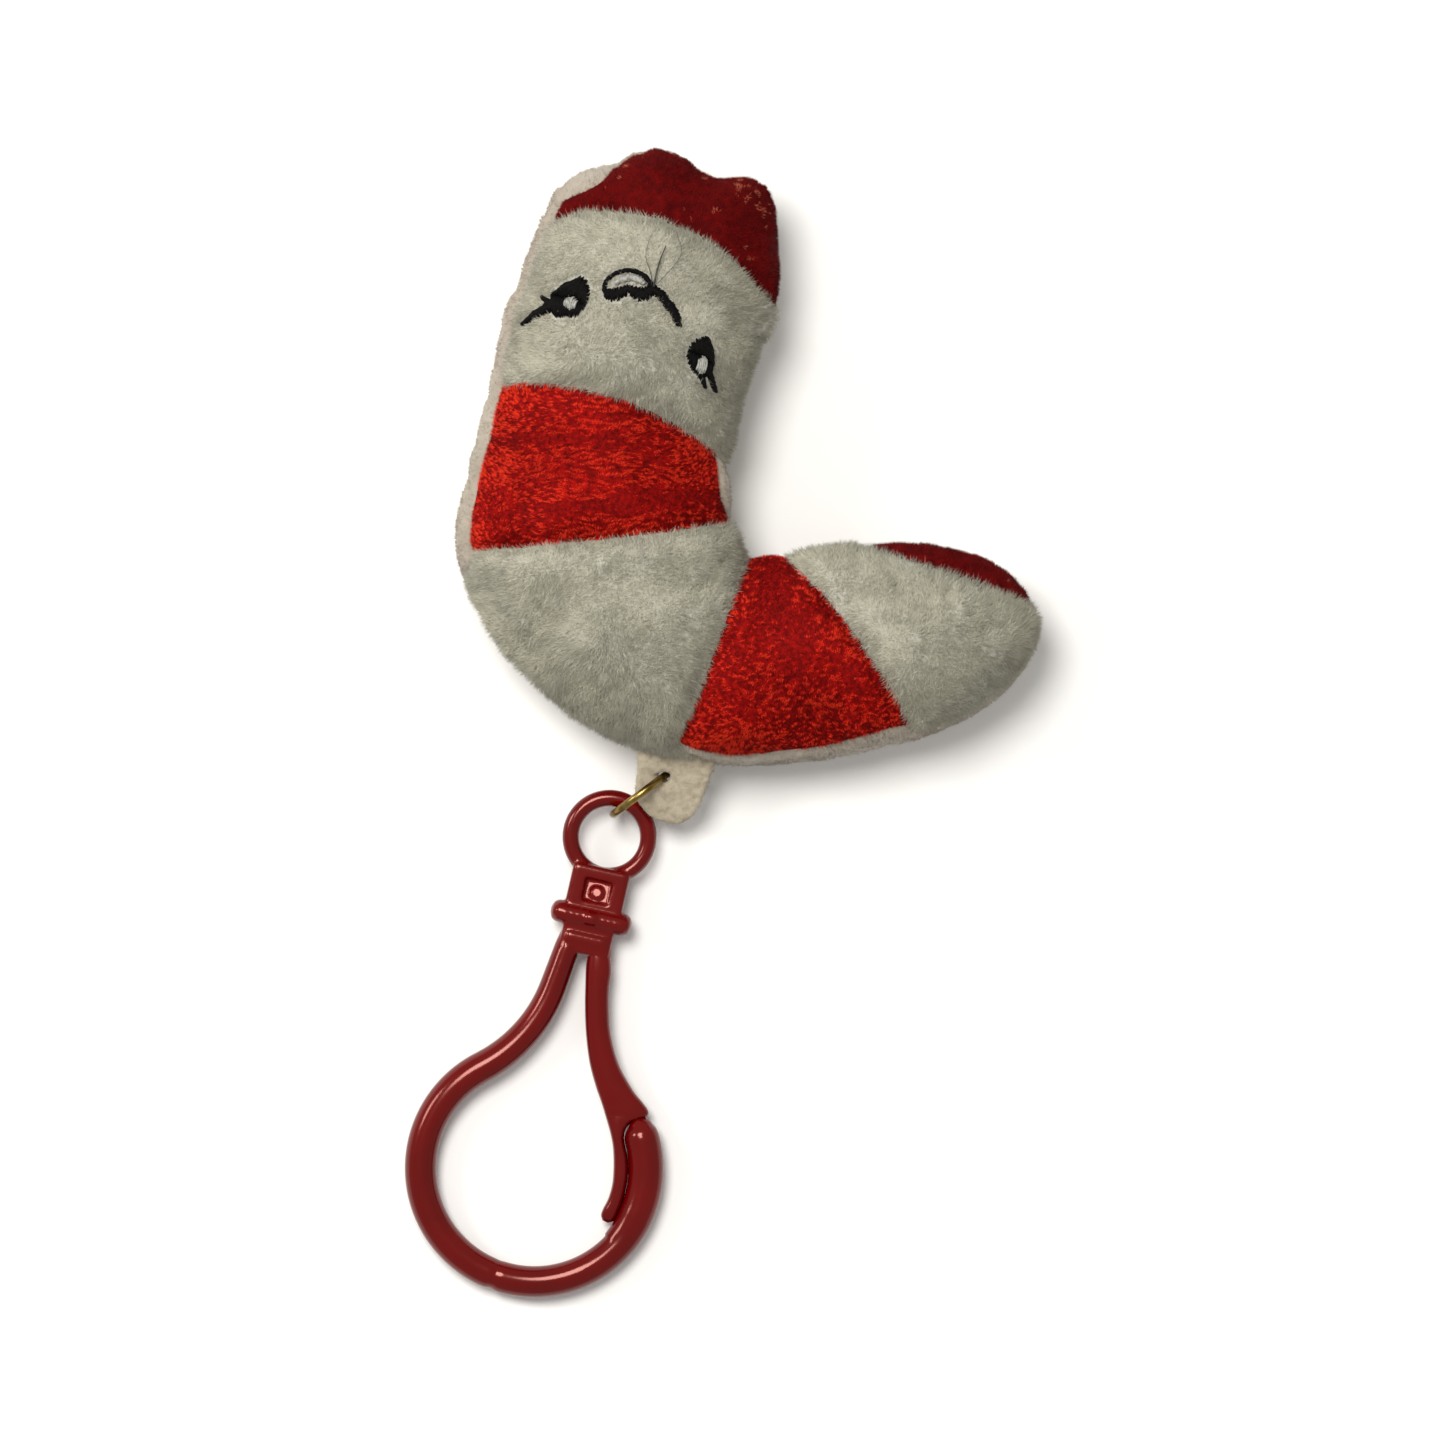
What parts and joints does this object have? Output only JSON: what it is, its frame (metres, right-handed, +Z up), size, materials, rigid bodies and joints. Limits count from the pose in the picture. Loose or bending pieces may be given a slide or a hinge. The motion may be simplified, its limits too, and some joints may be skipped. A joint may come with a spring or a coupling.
{
  "type": "sock-shaped plush charm with snap hook",
  "caption": "Stuffed plush charm shaped like a banded sock with an embroidered face, hung by a felt tab and an open wire ring from a moulded plastic snap hook.",
  "frame": {"origin": "on the table, under the middle of the charm's bounding box as it lies on its back", "axes": "+X towards the toe, +Y towards the crown of the head, +Z up out of the face; the snap hook points along -Y"},
  "size_m": [0.0677, 0.1227, 0.0179],
  "materials": {
    "fibre_fill": "loose polyester filling, hidden inside",
    "back_fabric": "short cream and pink pile, matte",
    "white_pile": "short greyed cream pile, matte and fuzzy",
    "dark_red_pile": "short dark red pile, matte",
    "red_knit": "bright red wavy short pile with a soft sheen",
    "black_thread": "rayon embroidery thread, soft sheen",
    "pale_thread": "pale grey embroidery thread, soft sheen",
    "felt": "speckled cream felt, matte",
    "brass_wire": "aged drawn wire, semi-gloss",
    "red_plastic": "moulded dark red, high gloss"
  },
  "bodies": {
    "plush": {"stuffing": "fibre_fill", "back_panel": "back_fabric", "head_cap": "dark_red_pile", "face_panel": "white_pile", "neck_band": "red_knit", "heel_panel": "white_pile", "foot_band": "red_knit", "toe_panel": "white_pile", "toe_patch": "dark_red_pile", "hanging_tab": "felt", "left_eye_glint": "pale_thread", "right_eye_glint": "pale_thread", "left_eye": "black_thread", "right_eye": "black_thread", "nose_arc": "black_thread", "nose_fill": "black_thread", "nose_crescent": "pale_thread", "mouth_stitch": "black_thread", "left_lash": "black_thread", "right_lashes": "black_thread", "loose_threads": "pale_thread"},
    "ring": {"jump_ring": "brass_wire"},
    "clip": {"clip_eye": "red_plastic", "clip_neck": "red_plastic", "clip_loop": "red_plastic"},
    "gate": {"clip_gate": "red_plastic"}
  },
  "joints": [
    {"name": "ring_swing", "type": "hinge", "parent": "plush", "child": "ring", "pos_m": [-0.00604, -0.00566, 0.00613], "axis": [0, 0, 1], "range_deg": [-20, 10]},
    {"name": "clip_swing", "type": "hinge", "parent": "ring", "child": "clip", "pos_m": [-0.00856, -0.00755, 0.00419], "axis": [-0.6004, 0.7997, 0], "range_deg": [-45, 45]},
    {"name": "gate_flex", "type": "hinge", "parent": "clip", "child": "gate", "pos_m": [-0.01293, -0.0251, 0.00254], "axis": [-0.0052, -0.023, 0.9997], "range_deg": [-13, 0], "stiffness_Nm_per_rad": 0.1}
  ]
}
